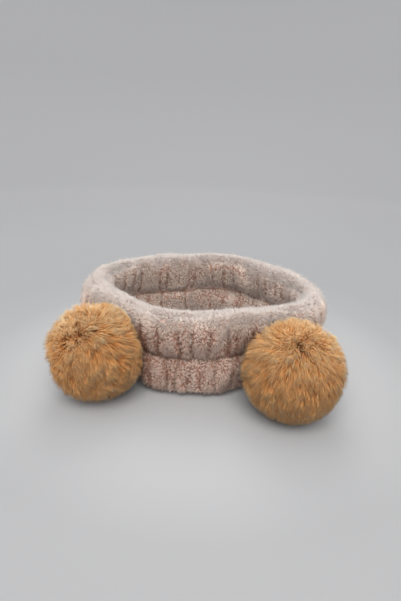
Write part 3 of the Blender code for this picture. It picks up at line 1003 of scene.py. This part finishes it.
def make_skin(ear):
    """The fur's woven backing: a ball drawn together round its mouth."""
    rows, segments = 40, 72
    side = unit(np.cross(ear.axis, np.array([0, 0, 1.0])))
    up = np.cross(side, ear.axis)
    turns = np.linspace(0, math.pi - MOUTH_HALF_ANGLE, rows)
    angle = np.arange(segments) * TAU / segments
    points = [ear.middle + ear.axis * SKIN_RADIUS]
    faces = []
    for turn in turns[1:]:
        puckers = 1 + PUCKER_DEPTH * math.sin(turn / 2) ** 8 * np.cos(PUCKERS * angle)
        ring = (np.cos(turn) * ear.axis[None] + np.sin(turn) * (
            np.cos(angle)[:, None] * side + np.sin(angle)[:, None] * up))
        points += list(ear.middle + ring * SKIN_RADIUS * puckers[:, None])
    outer = len(points)
    inner_radius = SKIN_RADIUS - SKIN_THICKNESS
    points.append(ear.middle + ear.axis * inner_radius)
    for turn in turns[1:]:
        ring = (np.cos(turn) * ear.axis[None] + np.sin(turn) * (
            np.cos(angle)[:, None] * side + np.sin(angle)[:, None] * up))
        points += list(ear.middle + ring * inner_radius)
    for base, flip in ((0, False), (outer, True)):
        for k in range(segments):
            n = (k + 1) % segments
            fan = (base, base + 1 + k, base + 1 + n)
            faces.append(fan[::-1] if flip else fan)
            for row in range(rows - 2):
                a = base + 1 + row * segments
                b = a + segments
                quad = (a + k, b + k, b + n, a + n)
                faces.append(quad[::-1] if flip else quad)
    last = 1 + (rows - 2) * segments
    for k in range(segments):
        n = (k + 1) % segments
        faces.append((last + k, outer + last + k, outer + last + n, last + n))
    mesh = bpy.data.meshes.new(f"{ear.side}_fur_backing")
    mesh.from_pydata([tuple(p) for p in points], [], faces)
    mesh.shade_smooth()
    return link(mesh, f"{ear.side}_fur_backing", FUR_SKIN)


def make_ear(side):
    ear = Ear(side)
    seed = 100 + 10 * SIDES.index(side)
    pieces = [make_skin(ear)]
    for index, coat in enumerate(FUR_COATS):
        pieces.append(make_fur(ear, coat, seed + index))
    for piece in pieces:
        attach(piece, f"{side}_ear")
        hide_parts(f"{side}_fur_cover")


# ---------------------------------------------------------------- CAD nodes' finishes
def finish_nodes():
    finishes = {
        "elastic_tape": ELASTIC,
        "closing_stitch": THREAD, "join_stitch": THREAD,
    }
    for side in SIDES:
        finishes[f"{side}_tack_patch"] = PATCH
        finishes[f"{side}_tack_thread"] = THREAD
        finishes[f"{side}_stuffing"] = WADDING
        finishes[f"{side}_backing_disc"] = FELT
        finishes[f"{side}_gathering_thread"] = THREAD
    for name, material in finishes.items():
        for slot in NODES[name].material_slots:
            slot.material = material


# ---------------------------------------------------------------- stage
def make_stage():
    """A round pale table top whose rim turns up into a wall, alike from all sides: its grey is a
    painted pool of light, brightest in the middle, and the outer floor and wall give off painted
    light.
    """
    segments, steps = 128, 16
    shader = Shader("pale_stage")
    coordinates = shader.node("ShaderNodeTexCoord")
    level = shader.node("ShaderNodeMapping")
    level.inputs["Scale"].default_value = (1 / STAGE_RADIUS, 1 / STAGE_RADIUS, 0)
    shader.join(coordinates.outputs["Object"], level.inputs["Vector"])
    reach = shader.node("ShaderNodeVectorMath", operation="LENGTH")
    shader.join(level.outputs["Vector"], reach.inputs[0])
    # Painted pool of light: the grey falls off from the middle outward.
    colour = shader.ramp(reach.outputs["Value"], *((place, (grey, 1.005 * grey, 1.03 * grey))
                                                   for place, grey in STAGE_PAINTED_LIGHT_GREYS))
    # Painted light given off by the outer floor, the upturned rim and the wall.
    painted_glow = shader.ramp(reach.outputs["Value"], *((place, (grey, grey, 1.03 * grey))
                                                 for place, grey in STAGE_PAINTED_GLOW))
    shader.join(colour, shader.main.inputs["Base Color"])
    shader.join(painted_glow, shader.main.inputs["Emission Color"])
    shader.main.inputs["Emission Strength"].default_value = 1.0
    shader.main.inputs["Roughness"].default_value = 0.8
    profile = [(0.12 * k, 0.0) for k in range(1, 10)]
    for step in range(steps + 1):
        turn = math.pi / 2 * step / steps
        profile.append((STAGE_RADIUS + STAGE_BEND * math.sin(turn),
                        STAGE_BEND * (1 - math.cos(turn))))
    profile.append((STAGE_RADIUS + STAGE_BEND, STAGE_WALL))
    points = [(0.0, 0.0, 0.0)]
    for radius, height in profile:
        for k in range(segments):
            turn = TAU * k / segments
            points.append((radius * math.cos(turn), radius * math.sin(turn), height))
    faces = [(0, 1 + k, 1 + (k + 1) % segments) for k in range(segments)]
    for row in range(len(profile) - 1):
        low = 1 + row * segments
        high = low + segments
        for k in range(segments):
            n = (k + 1) % segments
            faces.append((low + k, high + k, high + n, low + n))
    mesh = bpy.data.meshes.new("stage")
    mesh.from_pydata(points, [], faces)
    mesh.shade_smooth()
    link(mesh, "stage", shader.material)


def area_light(name, place, target, size, watts, colour):
    data = bpy.data.lights.new(name, "AREA")
    data.shape = "DISK"
    data.size = size
    data.energy = watts
    data.color = colour
    lamp = bpy.data.objects.new(name, data)
    bpy.context.scene.collection.objects.link(lamp)
    lamp.location = place
    lamp.rotation_euler = (Vector(target) - Vector(place)).to_track_quat("-Z", "Y").to_euler()


def make_lights():
    world = bpy.data.worlds.new("studio")
    bpy.context.scene.world = world
    world.use_nodes = True
    background = world.node_tree.nodes["Background"]
    background.inputs["Color"].default_value = (*AIR_COLOUR, 1.0)
    background.inputs["Strength"].default_value = AIR_STRENGTH
    for light in LIGHTS:
        area_light(*light)


def make_camera():
    roll, level = CAMERA_ROLL, math.cos(CAMERA_ELEVATION)
    target = Vector(RING_CENTRE) + Vector(CAMERA_TARGET)
    back = Vector((math.sin(CAMERA_AZIMUTH) * level, -math.cos(CAMERA_AZIMUTH) * level,
                   math.sin(CAMERA_ELEVATION)))
    right = Vector((0, 0, 1)).cross(back).normalized()
    up = back.cross(right)
    tilted_right = right * math.cos(roll) + up * math.sin(roll)
    tilted_up = up * math.cos(roll) - right * math.sin(roll)
    data = bpy.data.cameras.new("camera")
    data.sensor_width = CAMERA_SENSOR
    data.lens = CAMERA_LENS
    data.clip_start = 0.01
    camera = bpy.data.objects.new("camera", data)
    bpy.context.scene.collection.objects.link(camera)
    camera.matrix_world = Matrix.Translation(target + back * CAMERA_DISTANCE) @ Matrix(
        (tilted_right, tilted_up, back)).transposed().to_4x4()
    bpy.context.scene.camera = camera


# ---------------------------------------------------------------- build
make_camera()
make_stage()
make_lights()
bpy.context.scene.view_settings.view_transform = "Standard"

backing, band_surface, inner_pieces = make_band()
pile = make_pile(band_surface)
for piece in [backing] + pile:
    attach(piece, "band")
    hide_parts("fleece_cover")
for inner_node, piece in inner_pieces.items():
    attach(piece, "band")
    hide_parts(inner_node)
for ear_side in SIDES:
    make_ear(ear_side)
finish_nodes()
